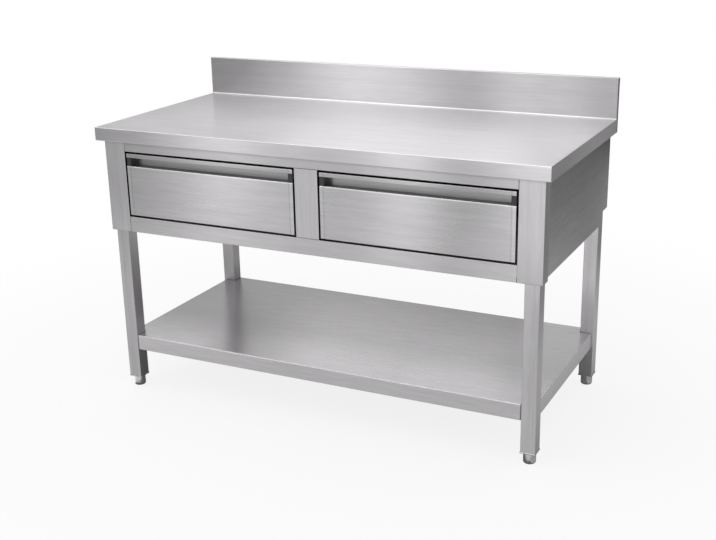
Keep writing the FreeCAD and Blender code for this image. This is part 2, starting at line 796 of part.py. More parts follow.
def drawer_box(side):
    """The open box behind the front: floor and four walls, each with its rim folded flat inwards."""
    wide = about(side, "box_x")
    long = ("box_front", "box_back")
    tall = ("box_bottom", "box_top")
    rim = ("box_top - box_hem", "box_top")
    folds = [
        block(wide, long, ("box_bottom", "box_bottom + drawer_gauge")),
        block(wide, ("box_front", "box_front + drawer_gauge"), tall),
        block(wide, ("box_front", "box_front + 2 * drawer_gauge"), rim),
        block(wide, ("box_back - drawer_gauge", "box_back"), tall),
        block(wide, ("box_back - 2 * drawer_gauge", "box_back"), rim),
    ]
    folds += [block(strip, long, tall) for strip in edge_strips(side, "box_x", "drawer_gauge")]
    folds += [block(strip, long, rim) for strip in edge_strips(side, "box_x", "2 * drawer_gauge")]
    holes = []
    for hand in HANDS:
        holes += runner_holes(side, hand, "-box_hem / 2", "box_hem")
    kept("drawer_box_" + side, without(joined(folds), holes))


# Telescopic runners

HANDS = {"outer": 1, "inner": -1}


def runner_hand(side, hand):
    """The way that runner depths are measured: away from the drawer box, as a sign on X."""
    return SIDES[side] * HANDS[hand]


def runner_span(side, hand, near, far):
    """A stretch of X measured outwards from the drawer box's side wall."""
    sign = runner_hand(side, hand)
    middle = "%d * drawer_x" % SIDES[side]
    ends = ["%s + %d * (box_x + %s)" % (middle, sign, depth) for depth in (near, far)]
    return tuple(ends) if sign > 0 else tuple(reversed(ends))


def runner_rod(side, hand, diameter, near, length, along):
    """A cylinder along X at runner level, starting a depth away from the drawer box."""
    low, high = runner_span(side, hand, near, "%s + %s" % (near, length))
    return rod("x", diameter, "0", length, low, along, "runner_level")


SCREW_PLACES = ("runner_front + runner_screw_inset", "runner_front + runner_length - runner_screw_inset")


def runner_holes(side, hand, near, length):
    hole = "runner_screw_diameter + 2 * runner_screw_gap"
    return [runner_rod(side, hand, hole, near, length, along) for along in SCREW_PLACES]


def runner_member(side, hand, web, flange, half):
    """A channel along Y: a web and two flanges, given as depths from the drawer box."""
    long = ("runner_front", "runner_front + runner_length")
    low = "runner_level - %s" % half
    high = "runner_level + %s" % half
    web_x = runner_span(side, hand, *web)
    flange_x = runner_span(side, hand, *flange)
    return joined([
        block(web_x, long, (low, high)),
        block(flange_x, long, (low, "%s + runner_gauge" % low)),
        block(flange_x, long, ("%s - runner_gauge" % high, high)),
    ])


def runners(side, hand):
    """The three members of a telescopic runner: fixed, middle and on the drawer."""
    name = "%s_%s" % (side, hand)
    fixed = runner_member(side, hand, ("runner_space - runner_gauge", "runner_space"),
                          ("2 * runner_step", "runner_space"), "runner_height / 2")
    fixed = without(fixed, runner_holes(side, hand, "runner_space - runner_step", "2 * runner_step"))
    kept("runner_fixed_" + name, fixed)
    back = "runner_space - runner_step"
    middle = runner_member(side, hand, (back + " - runner_gauge", back), ("runner_step", back), "middle_half")
    kept("runner_middle_" + name, middle)
    moving = runner_member(side, hand, ("0", "runner_gauge"),
                           ("0", "runner_space - 2 * runner_step"), "inner_half")
    moving = without(moving, runner_holes(side, hand, "-runner_gauge", "2 * runner_step"))
    kept("runner_drawer_" + name, moving)


def ball_cages(side, track, diameter, rise, depth):
    """Four strips of balls for one drawer: above and below, in both of its runners."""
    strips = []
    count = int(measure("cage_length") // measure("ball_pitch"))
    along = "(runner_front + runner_length / 2)"
    half_width = "(%s / 2 + cage_gauge)" % diameter
    for hand in HANDS:
        x = runner_span(side, hand, "%s - %s" % (depth, half_width), "%s + %s" % (depth, half_width))
        centre = runner_span(side, hand, depth, depth)[0]
        for level in ("runner_level - %s" % rise, "runner_level + %s" % rise):
            parts = [block(x, ("%s - cage_length / 2" % along, "%s + cage_length / 2" % along),
                           ("%s - cage_gauge / 2" % level, "%s + cage_gauge / 2" % level))]
            for number in range(count):
                step = "%s + (%g) * ball_pitch" % (along, number - (count - 1) / 2)
                parts.append(ball(diameter, centre, step, level))
            strips.append(joined(parts))
    kept("ball_cages_%s_%s" % (side, track), grouped(strips))


def ball(diameter, x, y, z):
    sphere = doc.addObject("Part::Sphere", "ball")
    sphere.setExpression("Radius", bound("%s / 2" % diameter))
    for name, place in zip("xyz", (x, y, z)):
        sphere.setExpression("Placement.Base." + name, bound(place))
    return sphere


def runner_rails():
    """The channels that carry the fixed members: one on each side's legs and one in the middle."""
    tall = ("rail_bottom", "rail_top")
    low = ("rail_bottom", "rail_bottom + runner_rail_gauge")
    high = ("rail_top - runner_rail_gauge", "rail_top")
    reach = "2 * runner_rail_gauge"
    for side in SIDES:
        long = ("frame_back", "rear_leg_y")
        folds = [block(span(side, "side_rail_x", "side_rail_x + runner_rail_gauge"), long, tall)]
        folds += [block(span(side, "side_rail_x", "leg_inner_x"), long, level) for level in (low, high)]
        holes = runner_holes(side, "outer", "runner_space - runner_rail_gauge / 2", reach)
        kept("runner_rail_" + side, without(joined(folds), holes))
    long = ("frame_back", "rear_rail_front")
    folds = [block(centred("centre_rail_x"), long, high)]
    folds += [block(span(side, "centre_rail_x - runner_rail_gauge", "centre_rail_x"), long, tall)
              for side in SIDES]
    holes = []
    for side in SIDES:
        holes += runner_holes(side, "inner", "runner_space - runner_rail_gauge / 2", reach)
    kept("runner_rail_centre", without(joined(folds), holes))


def screw(side, hand, along, head_depth, shank_depth, shank_length):
    """A pan-head screw along X that joins a runner member to what carries it."""
    head = runner_rod(side, hand, "runner_screw_head", head_depth, "runner_screw_head_height", along)
    shank = runner_rod(side, hand, "runner_screw_diameter", shank_depth, shank_length, along)
    return joined([head, shank])


def runner_screws():
    """Screws from inside the rails into the fixed members, and from inside the drawers."""
    fixed = []
    for side in SIDES:
        loose = []
        for hand in HANDS:
            for along in SCREW_PLACES:
                fixed.append(screw(side, hand, along, "(runner_space + runner_rail_gauge)",
                                   "(runner_space - runner_gauge)", "(runner_gauge + runner_rail_gauge)"))
                loose.append(screw(side, hand, along, "(-drawer_gauge - runner_screw_head_height)",
                                   "(-drawer_gauge)", "(drawer_gauge + runner_gauge)"))
        kept("drawer_screws_" + side, grouped(loose))
    kept("runner_screws", grouped(fixed))


# The whole table

worktop()
upstand_ends()
worktop_stiffeners()
corner_posts()
middle_post()
front_rail("front_top_rail", "opening_top", "cabinet_top")
front_rail("front_bottom_rail", "cabinet_bottom", "opening_bottom")
side_panels()
rear_panel()
rear_rail("rear_top_rail", "cabinet_top - rear_rail_height", "cabinet_top")
rear_rail("rear_middle_rail", "rail_bottom", "rail_top")
leg_top_plates()
for end, side in CORNERS:
    leg(end, side)
    leg_plug(end, side)
    foot(end, side)
undershelf()
shelf_stiffeners()
shelf_bolts()
runner_rails()
runner_screws()
for side in SIDES:
    drawer_front(side)
    grip_end_caps(side)
    drawer_box(side)
    for hand in HANDS:
        runners(side, hand)
    ball_cages(side, "outer", "outer_ball_diameter", "outer_ball_rise", "(runner_space + runner_step) / 2")
    ball_cages(side, "inner", "inner_ball_diameter", "inner_ball_rise", "(runner_space - runner_step) / 2")

doc.recompute()
for item in doc.Objects:
    assert not {"Invalid", "Error"} & set(item.State), (item.Name, item.Label, item.State)
labels = [piece.Label for piece in pieces]
assert len(set(labels)) == len(labels), "two sub-parts share a name"
for piece in pieces:
    assert not piece.Shape.isNull() and piece.Shape.isValid(), piece.Label

os.makedirs("parts", exist_ok=True)
for piece in pieces:
    piece.Shape.exportStep(os.path.join("parts", piece.Label + ".step"))
print(len(pieces), "sub-parts written")
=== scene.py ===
"""Stainless steel work table: finishes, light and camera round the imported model."""
import math

import bpy
from mathutils import Matrix, Vector

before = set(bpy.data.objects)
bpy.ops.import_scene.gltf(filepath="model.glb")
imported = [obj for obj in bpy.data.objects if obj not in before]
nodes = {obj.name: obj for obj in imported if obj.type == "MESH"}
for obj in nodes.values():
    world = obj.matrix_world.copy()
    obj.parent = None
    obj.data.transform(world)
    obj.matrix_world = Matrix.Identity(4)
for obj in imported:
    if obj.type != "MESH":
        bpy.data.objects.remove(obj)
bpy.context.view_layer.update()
scene = bpy.context.scene


# Camera, at the photograph's viewing angle: pixels, metres and radians

PHOTO_WIDTH, PHOTO_HEIGHT = 716, 540
FOCAL_PIXELS = 1133.25
CENTRE_PIXEL = (357.67, 269.51)
CAMERA_PLACE = (1.5873, -3.1664, 1.5937)
YAW, PITCH, ROLL = -0.46471, -0.32189, -0.02135
SENSOR_WIDTH = 36


def make_camera():
    forward = Vector((math.sin(YAW) * math.cos(PITCH), math.cos(YAW) * math.cos(PITCH), math.sin(PITCH)))
    level = Vector((math.cos(YAW), -math.sin(YAW), 0))
    upright = level.cross(forward)
    right = level * math.cos(ROLL) + upright * math.sin(ROLL)
    up = upright * math.cos(ROLL) - level * math.sin(ROLL)
    data = bpy.data.cameras.new("photo_camera")
    data.sensor_width = SENSOR_WIDTH
    data.lens = SENSOR_WIDTH * FOCAL_PIXELS / PHOTO_WIDTH
    data.shift_x = (PHOTO_WIDTH / 2 - CENTRE_PIXEL[0]) / PHOTO_WIDTH
    data.shift_y = (CENTRE_PIXEL[1] - PHOTO_HEIGHT / 2) / PHOTO_WIDTH
    camera = bpy.data.objects.new("photo_camera", data)
    scene.collection.objects.link(camera)
    turn = Matrix((right, up, -forward)).transposed()
    camera.matrix_world = Matrix.Translation(CAMERA_PLACE) @ turn.to_4x4()
    scene.camera = camera


make_camera()


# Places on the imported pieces, in metres

X, Y, Z = 0, 1, 2


def lowest(name, axis):
    return min((nodes[name].matrix_world @ vertex.co)[axis] for vertex in nodes[name].data.vertices)


def highest(name, axis):
    return max((nodes[name].matrix_world @ vertex.co)[axis] for vertex in nodes[name].data.vertices)


CABINET_FRONT = lowest("front_top_rail", Y)
CABINET_TOP = highest("front_top_rail", Z)
PANEL_BOTTOM = lowest("side_panel_right", Z)

# The worktop: near its edge's underside, its upper face, the upstand above the fold, and just inside its ends
WORKTOP_EDGE = CABINET_TOP - 0.037
TOP_LEVEL = CABINET_TOP + 0.001
UPSTAND_FOOT = CABINET_TOP + 0.006
WORKTOP_SIDE = highest("worktop", X) - 0.0005

DRAWER_BOTTOM = lowest("drawer_front_right", Z)
DRAWER_TOP = highest("drawer_front_right", Z)
DRAWER_MIDDLE = (lowest("drawer_front_right", X) + highest("drawer_front_right", X)) / 2
DRAWER_HALF = (highest("drawer_front_right", X) - lowest("drawer_front_right", X)) / 2
GRIP_BOTTOM = lowest("grip_end_caps_left", Z)
GRIP_TOP = highest("grip_end_caps_left", Z)

SHELF_SIDE = highest("undershelf", X)
SHELF_TOP = highest("undershelf", Z)
LEG_INNER = lowest("leg_front_right", X)
LEGS_MIDDLE = (highest("leg_front_right", Y) + lowest("leg_rear_right", Y)) / 2
LEG_SPACE = lowest("leg_rear_right", Y) - highest("leg_front_right", Y)

# Sizes of the sheet work: the gauge, the rounding of folds that show and of folds inside, how far the openings'
# folds reach to the side and in height, and how near counts as touching
GAUGE = 0.0012
FOLD_SIZE, NARROW_FOLD = 0.003, 0.0004
GAP_REACH, FOLD_REACH = 0.007, 0.008
TOUCH = 0.0004


# Node trees

class Graph:
    """The node tree of a material or world, with short ways to add and join nodes."""

    def __init__(self, owner):
        owner.use_nodes = True
        self.owner = owner
        self.tree = owner.node_tree
        self.tree.nodes.clear()

    def add(self, kind, inputs=(), **settings):
        node = self.tree.nodes.new(kind)
        for key, value in settings.items():
            setattr(node, key, value)
        for socket, value in dict(inputs).items():
            if isinstance(value, bpy.types.NodeSocket):
                self.tree.links.new(value, node.inputs[socket])
            else:
                node.inputs[socket].default_value = value
        return node

    def noise(self, vector, scale, detail, roughness=0.5):
        return self.add("ShaderNodeTexNoise", {"Vector": vector, "Scale": scale, "Detail": detail,
                                               "Roughness": roughness}).outputs["Fac"]

    def stretched(self, vector, scale, place):
        return self.add("ShaderNodeMapping", {"Vector": vector, "Scale": scale, "Location": place}).outputs["Vector"]

    def parts(self, vector):
        """The vector's X, Y and Z."""
        return self.add("ShaderNodeSeparateXYZ", {0: vector}).outputs

    def between(self, value, low, high):
        """The value, 0 to 1, spread over low to high."""
        return self.add("ShaderNodeMapRange", {"Value": value, "To Min": low, "To Max": high}).outputs["Result"]

    def fade(self, value, places, shades):
        """Goes smoothly from the first shade to the second as the value goes from the first place to the second."""
        return self.add("ShaderNodeMapRange", {"Value": value, "From Min": places[0], "From Max": places[1],
                                               "To Min": shades[0], "To Max": shades[1]},
                        interpolation_type="SMOOTHSTEP").outputs["Result"]

    def maths(self, operation, first, second=0.0):
        return self.add("ShaderNodeMath", {0: first, 1: second}, operation=operation).outputs[0]

    def product(self, first, *others):
        for other in others:
            first = self.maths("MULTIPLY", first, other)
        return first

    def away_from(self, value, middle):
        return self.maths("ABSOLUTE", self.maths("SUBTRACT", value, middle))

    def grey(self, value):
        return self.add("ShaderNodeCombineColor", {0: value, 1: value, 2: value}).outputs[0]

    def rounded_folds(self, radius):
        return self.add("ShaderNodeBevel", {"Radius": radius}, samples=6).outputs["Normal"]

    def seen_directly(self):
        """1 for rays from the camera, mirrors and clear pieces, otherwise 0."""
        path = self.add("ShaderNodeLightPath").outputs
        seen = self.maths("MAXIMUM", path["Is Camera Ray"], path["Is Glossy Ray"])
        return self.maths("MAXIMUM", seen, path["Is Transmission Ray"])

    def surface(self, shader, kind="ShaderNodeOutputMaterial"):
        self.add(kind, {"Surface": shader.outputs[0]})
        return self.owner


# Patterns of the finishes. Grain directions: along the grain the pattern is drawn out, across it reflections spread

GRAIN_STRETCH = {"x": (0.012, 1, 1), "y": (1, 0.012, 1), "z": (1, 1, 0.012), "rings": (0.02, 0.02, 1)}
STROKE_STRETCH = {"x": (0.09, 1, 1), "y": (1, 0.09, 1), "z": (1, 1, 0.09), "rings": (0.05, 0.05, 1)}
SPREAD = {"x": (0, 0.05, 1), "y": (0.05, 0, 1), "z": (1, 1, 0)}

# How often each pattern repeats per metre, and how far it lightens and darkens the shade
LINES_PER_METRE, LINE_TONE = 420, 0.04
STREAKS_PER_METRE, STREAK_TONE = 60, 0.09
STROKES_PER_METRE, STROKE_TONE = 120, 0.12
CLOUDS_PER_METRE, CLOUD_TONE = 3.2, 0.04
LINE_GLOSS, CLOUD_GLOSS = 0.01, 0.04
LINE_RELIEF, LINE_DEPTH = 0.003, 0.0004

# The same for moulded plastic, whose grains also change the gloss
GRAINS_PER_METRE, GRAIN_GLOSS = 2200, 0.06
BLOTCHES_PER_METRE, BLOTCH_SHADE = 60, 0.85
GRAIN_RELIEF, GRAIN_DEPTH = 0.2, 0.0001

STEEL = (0.705, 0.69, 0.705)
# Painted light: a lighter copy of the same steel for the worktop
LIT_WORKTOP_STEEL = (0.785, 0.767, 0.785)


def brushed(name, grain, rough, shade=STEEL, spread=0.75, offset=0.0, line=1.0, cloud=1.0, stroke=1.0, marks=None,
            fold=FOLD_SIZE, metal=1.0):
    """Brushed stainless steel: grain lines, streaks, short strokes, soft polishing clouds and rounded folds.

    The offset gives each piece its own part of the pattern. Line, cloud and stroke scale the patterns' strength.
    """
    g = Graph(bpy.data.materials.new(name))
    place = g.add("ShaderNodeTexCoord").outputs["Object"]
    along = g.stretched(place, GRAIN_STRETCH[grain], (offset, offset * 0.7, offset * 1.3))
    short = g.stretched(place, STROKE_STRETCH[grain], (offset * 1.1, offset, offset * 0.6))
    lines = g.noise(along, LINES_PER_METRE, detail=2, roughness=0.6)
    streaks = g.noise(along, STREAKS_PER_METRE, detail=4, roughness=0.55)
    strokes = g.noise(short, STROKES_PER_METRE, detail=3, roughness=0.6)
    clouds = g.noise(place, CLOUDS_PER_METRE, detail=3)
    tone = g.between(streaks, -STREAK_TONE * line, STREAK_TONE * line)
    tone = g.maths("ADD", tone, g.between(clouds, -CLOUD_TONE * cloud, CLOUD_TONE * cloud))
    tone = g.maths("ADD", tone, g.between(strokes, -STROKE_TONE * stroke, STROKE_TONE * stroke))
    tone = g.maths("ADD", tone, g.between(lines, 1 - LINE_TONE * line, 1 + LINE_TONE * line))
    if marks:
        tone = g.product(tone, marks(g, place))
    colour = g.add("ShaderNodeMix", {"Factor": 1.0, 6: (*shade, 1), 7: g.grey(tone)},
                   data_type="RGBA", blend_type="MULTIPLY").outputs[2]
    gloss = g.maths("ADD", g.between(lines, rough - LINE_GLOSS, rough + LINE_GLOSS),
                    g.between(clouds, -CLOUD_GLOSS * cloud, CLOUD_GLOSS * cloud))
    bump = g.add("ShaderNodeBump", {"Strength": LINE_RELIEF * line, "Distance": LINE_DEPTH, "Height": lines,
                                    "Normal": g.rounded_folds(fold)}).outputs["Normal"]
    look = {"Base Color": colour, "Metallic": metal, "Roughness": gloss, "Anisotropic": spread, "Normal": bump}
    if spread:
        look["Tangent"] = g.add("ShaderNodeCombineXYZ", dict(enumerate(SPREAD[grain]))).outputs[0]
    return g.surface(g.add("ShaderNodeBsdfPrincipled", look))


def moulded(name, shade, rough):
    """Matt moulded plastic with a fine spark-eroded texture."""
    g = Graph(bpy.data.materials.new(name))
    place = g.add("ShaderNodeTexCoord").outputs["Object"]
    grains = g.noise(place, GRAINS_PER_METRE, detail=2, roughness=0.6)
    blotches = g.noise(place, BLOTCHES_PER_METRE, detail=3)
    darker = [BLOTCH_SHADE * part for part in shade]
    colour = g.add("ShaderNodeMix", {"Factor": blotches, 6: (*darker, 1), 7: (*shade, 1)},
                   data_type="RGBA").outputs[2]
    bump = g.add("ShaderNodeBump", {"Strength": GRAIN_RELIEF, "Distance": GRAIN_DEPTH, "Height": grains,
                                    "Normal": g.rounded_folds(FOLD_SIZE / 2)}).outputs["Normal"]
    return g.surface(g.add("ShaderNodeBsdfPrincipled", {
        "Base Color": colour, "Roughness": g.between(grains, rough - GRAIN_GLOSS, rough + GRAIN_GLOSS),
        "Normal": bump}))


# Marks: painted light and shade over single pieces, and faint lines on the drawer fronts. Places are in metres, and a
# shade of 1 leaves the finish as it is

def painted_shade_under_edge(g, place):
    """Painted shade just under the worktop's edge, where its overhang shades the rail and posts."""
    return g.fade(g.parts(place)["Z"], (WORKTOP_EDGE - 0.016, WORKTOP_EDGE + 0.001), (1, 0.72))


def upstand_painted_reflections(g, place):
    """Painted reflections: soft lighter and darker bands along the upstand."""
    along = g.parts(place)["X"]
    return g.product(g.fade(along, (-0.75, -0.15), (0.90, 1.18)), g.fade(along, (0.0, 0.28), (1, 0.68)),
                     g.fade(along, (0.26, 0.50), (1, 1.30)), g.fade(along, (0.55, 0.75), (1, 0.66)))


def top_painted_light(g, place):
    """Painted shade towards the upstand and in the fold at its foot, painted light towards the right end."""
    parts = g.parts(place)
    on_top = g.fade(parts["Z"], (TOP_LEVEL - 0.004, TOP_LEVEL - 0.001), (0, 1))
    right = g.fade(parts["X"], (0.4, 0.72), (1, 1.07))
    return g.product(g.fade(parts["Y"], (0.0, 0.33), (1, 0.87)), g.fade(parts["Y"], (0.324, 0.331), (1, 0.90)),
                     g.between(on_top, 1, right))


def end_painted_light(g, place):
    """The worktop's folded ends, with painted light growing towards the rear."""
    return g.fade(g.parts(place)["Y"], (-0.35, 0.33), (0.72, 1.2))


def panel_painted_shade(g, place):
    """The side panels, with painted shade towards the worktop and a little towards the rear."""
    parts = g.parts(place)
    return g.product(g.fade(parts["Z"], (PANEL_BOTTOM + 0.01, TOP_LEVEL - 0.05), (1.24, 0.76)),
                     g.fade(parts["Y"], (-0.32, 0.3), (1.04, 0.95)))


def leg_painted_light(g, place):
    """Painted light and shade on the legs: darker on the left, lighter on the right, and more so at the rear."""
    parts = g.parts(place)
    side = g.fade(parts["X"], (-0.3, 0.3), (0.88, 1.05))
    rear = g.fade(parts["X"], (-0.3, 0.3), (0.90, 1.13))
    at_rear = g.fade(parts["Y"], (-0.1, 0.1), (0, 1))
    return g.product(side, g.between(at_rear, 1, rear))


def shelf_painted_light(g, place):
    """Painted light towards the front edge, painted highlights on the side folds, painted shade in the seams at the
    legs.
    """
    parts = g.parts(place)
    across = g.away_from(parts["X"], 0)
    painted_front_light = g.fade(parts["Y"], (-0.34, -0.02), (1.30, 0.86))
    painted_fold_highlight = g.fade(across, (SHELF_SIDE - 0.003, SHELF_SIDE - 0.0005), (1.02, 1.3))
    on_top = g.fade(parts["Z"], (SHELF_TOP - 0.005, SHELF_TOP - 0.002), (0, 1))
    # Painted shade: a dark line where the shelf meets each leg
    corner = g.maths("MINIMUM", g.maths("SUBTRACT", across, LEG_INNER),
                     g.maths("SUBTRACT", g.away_from(parts["Y"], LEGS_MIDDLE), LEG_SPACE / 2))
    return g.product(g.between(on_top, painted_fold_highlight, painted_front_light), g.fade(corner, (-0.0045, -0.002), (1, 0.4)))


def front_lines_and_painted_light(middle):
    """Faint darker and lighter bands near a drawer front's sides, painted highlights along its fold under the channel
    and its top fold, and painted shade on the strip above the channel.
    """
    def marks(g, place):
        parts = g.parts(place)
        away, height = g.away_from(parts["X"], middle), parts["Z"]
        return g.product(g.fade(away, (DRAWER_HALF - 0.017, DRAWER_HALF - 0.013), (1, 0.87)),
                         g.fade(away, (DRAWER_HALF - 0.012, DRAWER_HALF - 0.009), (1, 1.23)),
                         g.fade(height, (GRIP_BOTTOM - 0.0045, GRIP_BOTTOM - 0.002), (1, 1.4)),
                         g.fade(height, (GRIP_BOTTOM + 0.003, GRIP_TOP - 0.003), (1, 0.60)),
                         g.fade(height, (DRAWER_TOP - 0.004, DRAWER_TOP - 0.0015), (1, 1.2)))
    return marks


# Dressing the pieces

# How far a face's normal points some way: 1 is straight that way, 0 is square to it
STRAIGHT, MOSTLY, PARTLY, SLIGHTLY = 0.85, 0.7, 0.5, 0.1


def found(names):
    """The pieces with the given names, where a name may end in * for all that start that way."""
    for name in names:
        pieces = [node for key, node in nodes.items()
                  if key == name or (name.endswith("*") and key.startswith(name[:-1]))]
        assert pieces, name
        yield from pieces


def dress(names, material):
    for node in found(names):
        node.data.materials.clear()
        node.data.materials.append(material)


def dress_faces(names, material, wanted):
    """Gives one more material to the faces that the wanted test picks by their middle and normal."""
    for node in found(names):
        node.data.materials.append(material)
        for face in node.data.polygons:
            if wanted(node.matrix_world @ face.center, face.normal):
                face.material_index = len(node.data.materials) - 1


def shelf_side_fold(middle, normal):
    """The rounded folds along the undershelf's sides."""
    return abs(normal.x) > SLIGHTLY and normal.z > SLIGHTLY and abs(middle.x) > SHELF_SIDE - FOLD_SIZE


def worktop_end(middle, normal):
    return abs(normal.x) > MOSTLY and abs(middle.x) > WORKTOP_SIDE


def upstand_face(middle, normal):
    return middle.z > UPSTAND_FOOT and normal.y < -PARTLY


def in_channel(middle, normal):
    """The walls and the floor of a drawer front's finger channel."""
    return middle.y > CABINET_FRONT + GAUGE and GRIP_BOTTOM - TOUCH < middle.z < GRIP_TOP + TOUCH


def channel_floor(middle, normal):
    return in_channel(middle, normal) and abs(normal.z) > PARTLY


def front_side(middle, normal):
    """The folded sides of a drawer front, behind its face."""
    return (middle.y > CABINET_FRONT + GAUGE and not in_channel(middle, normal)
            and max(abs(normal.x), abs(normal.z)) > MOSTLY)


def in_gap(middle, normal):
    """The folds round the drawer openings, from the rounding at the front inwards."""
    if abs(middle.x) > DRAWER_MIDDLE + DRAWER_HALF + GAP_REACH:
        return False
    rounding = normal.y > -STRAIGHT and DRAWER_BOTTOM - FOLD_REACH < middle.z < DRAWER_TOP + FOLD_REACH
    return rounding or middle.y > CABINET_FRONT + GAUGE


dress(["worktop"], brushed("worktop_brushed", "x", 0.30, shade=LIT_WORKTOP_STEEL, offset=0.3, line=0.6, marks=top_painted_light))
dress(["upstand_ends"], brushed("upstand_end_brushed", "y", 0.34, offset=0.9))
dress(["undershelf"], brushed("shelf_brushed", "x", 0.25, offset=2.1, line=0.4, marks=shelf_painted_light))
dress(["front_top_rail"], brushed("top_rail_brushed", "x", 0.32, offset=3.7, marks=painted_shade_under_edge))
dress(["front_bottom_rail"], brushed("bottom_rail_brushed", "x", 0.32, offset=4.9))
dress(["corner_post_left"], brushed("left_post_brushed", "z", 0.32, offset=5.3, marks=painted_shade_under_edge))
dress(["corner_post_right"], brushed("right_post_brushed", "z", 0.32, offset=6.1, marks=painted_shade_under_edge))
dress(["middle_post"], brushed("middle_post_brushed", "z", 0.32, offset=7.7))
dress(["drawer_front_left"], brushed("left_drawer_brushed", "x", 0.28, offset=8.2, marks=front_lines_and_painted_light(-DRAWER_MIDDLE)))
dress(["drawer_front_right"], brushed("right_drawer_brushed", "x", 0.28, offset=9.4, marks=front_lines_and_painted_light(DRAWER_MIDDLE)))
dress(["grip_end_caps_*"], moulded("cap_plastic", (0.036, 0.036, 0.038), 0.5))
dress(["side_panel_*"], brushed("side_panel_brushed", "y", 0.36, offset=10.6, stroke=1.4, marks=panel_painted_shade))
dress(["rear_panel", "rear_middle_rail", "rear_top_rail"], brushed("rear_panel_brushed", "x", 0.36, offset=10.9))
dress(["leg_front_*", "leg_rear_*"], brushed("leg_brushed", "z", 0.30, offset=11.8, line=1.6, marks=leg_painted_light))
dress(["leg_plug_*"], brushed("plug_satin", "x", 0.42, spread=0, offset=12.5))
dress(["foot_*"], brushed("foot_turned", "rings", 0.26, shade=(0.88, 0.875, 0.88), spread=0, offset=13.1, line=2.2,
                          cloud=0.6, stroke=2.2))
dress(["drawer_box_*"], brushed("box_satin", "y", 0.40, shade=(0.70, 0.70, 0.70), offset=14.3, line=0.6))
dress(["leg_top_plates", "worktop_stiffener_*", "shelf_stiffener_*", "runner_rail_*"],
      brushed("mill_finish", "x", 0.45, shade=(0.58, 0.58, 0.585), spread=0, offset=15.2, line=0.5, cloud=1.6))
dress(["runner_fixed_*", "runner_middle_*", "runner_drawer_*", "ball_cages_*"],
      brushed("zinc_plate", "y", 0.30, shade=(0.62, 0.64, 0.68), spread=0, offset=16.4, line=0.4, cloud=1.4))
dress(["runner_screws", "drawer_screws_*", "shelf_bolts_and_nuts"],
      brushed("fastener_bright", "x", 0.25, shade=(0.6, 0.6, 0.6), spread=0, offset=17.6, line=0.3))

# Painted highlight: the shelf's side folds get a lighter, half-matt copy of the steel so they show as bright lines
dress_faces(["undershelf"], brushed("shelf_fold_highlight", "y", 0.5, shade=(0.92, 0.915, 0.92), spread=0, offset=21.4,
                                    fold=NARROW_FOLD, metal=0.3), shelf_side_fold)
# Painted light: a lighter, part-matt copy of the steel on the worktop's ends, brighter towards the rear
dress_faces(["worktop"], brushed("worktop_ends_brushed", "y", 0.34, shade=LIT_WORKTOP_STEEL, offset=22.3, metal=0.8,
                                 marks=end_painted_light), worktop_end)
dress_faces(["worktop"], brushed("upstand_brushed", "x", 0.30, offset=20.2, stroke=0.7, marks=upstand_painted_reflections),
            upstand_face)
# Painted shade in the finger channels: the walls a darker copy of the steel, the floor darker still as painted shadow
dress_faces(["drawer_front_*"], brushed("shaded_channel_wall", "x", 0.36, shade=(0.55, 0.55, 0.555), offset=18.4, line=1.5),
            in_channel)
dress_faces(["drawer_front_*"], brushed("channel_floor", "x", 0.42, shade=(0.28, 0.28, 0.285), offset=18.9),
            channel_floor)
# Painted shade: the folded sides of the drawer fronts, which sit in the gaps, get a dark copy of the steel
dress_faces(["drawer_front_*"], brushed("shaded_front_sides", "y", 0.4, shade=(0.30, 0.30, 0.30), offset=19.8,
                                        fold=NARROW_FOLD), front_side)
# Painted shade: the folds round the drawer openings get a nearly black copy of the steel, so the gaps read dark
dress_faces(["corner_post_*", "middle_post", "front_top_rail", "front_bottom_rail"],
            brushed("shaded_folds_inside", "x", 0.5, shade=(0.05, 0.05, 0.05), spread=0, offset=19.3, fold=NARROW_FOLD),
            in_gap)


# Floor, studio cards, light and background

WHITE = (1, 1, 1, 1)
FLOOR_WIDTH = 18


def flat_piece(name, size, material):
    """A level rectangle round the origin."""
    mesh = bpy.data.meshes.new(name)
    w, h = size[0] / 2, size[1] / 2
    mesh.from_pydata([(-w, -h, 0), (w, -h, 0), (w, h, 0), (-w, h, 0)], [], [(0, 1, 2, 3)])
    mesh.materials.append(material)
    piece = bpy.data.objects.new(name, mesh)
    scene.collection.objects.link(piece)
    return piece


def aim(piece, centre, target, front):
    """Puts the piece at the centre and turns its front axis to the target."""
    piece.location = centre
    piece.rotation_euler = (Vector(target) - Vector(centre)).to_track_quat(front, "Y").to_euler()


def white_where_seen(g, shader, share):
    """The shader, but mostly white for rays from the camera, mirrors and clear pieces."""
    white = g.add("ShaderNodeEmission", {"Color": WHITE, "Strength": 1.0})
    return g.add("ShaderNodeMixShader", {0: g.product(g.seen_directly(), share), 1: shader.outputs[0],
                                         2: white.outputs[0]})


def make_floor():
    """A matt floor that keeps a faint shadow under the table and is white farther out."""
    g = Graph(bpy.data.materials.new("pale_floor"))
    place = g.add("ShaderNodeTexCoord").outputs["Object"]
    distance = g.add("ShaderNodeVectorMath", {0: place}, operation="LENGTH").outputs["Value"]
    far = g.fade(distance, (0.9, 2.4), (0.84, 1))
    matt = g.add("ShaderNodeBsdfDiffuse", {"Color": (0.92, 0.92, 0.92, 1)})
    floor = flat_piece("floor", (FLOOR_WIDTH, FLOOR_WIDTH), g.surface(white_where_seen(g, matt, far)))


def make_world():
    """A background that is white where it is seen and lights matt surfaces a little less."""
    scene.world = bpy.data.worlds.new("studio")
    g = Graph(scene.world)
    strength = g.between(g.seen_directly(), 0.75, 1.0)
    g.surface(g.add("ShaderNodeBackground", {"Color": WHITE, "Strength": strength}), "ShaderNodeOutputWorld")


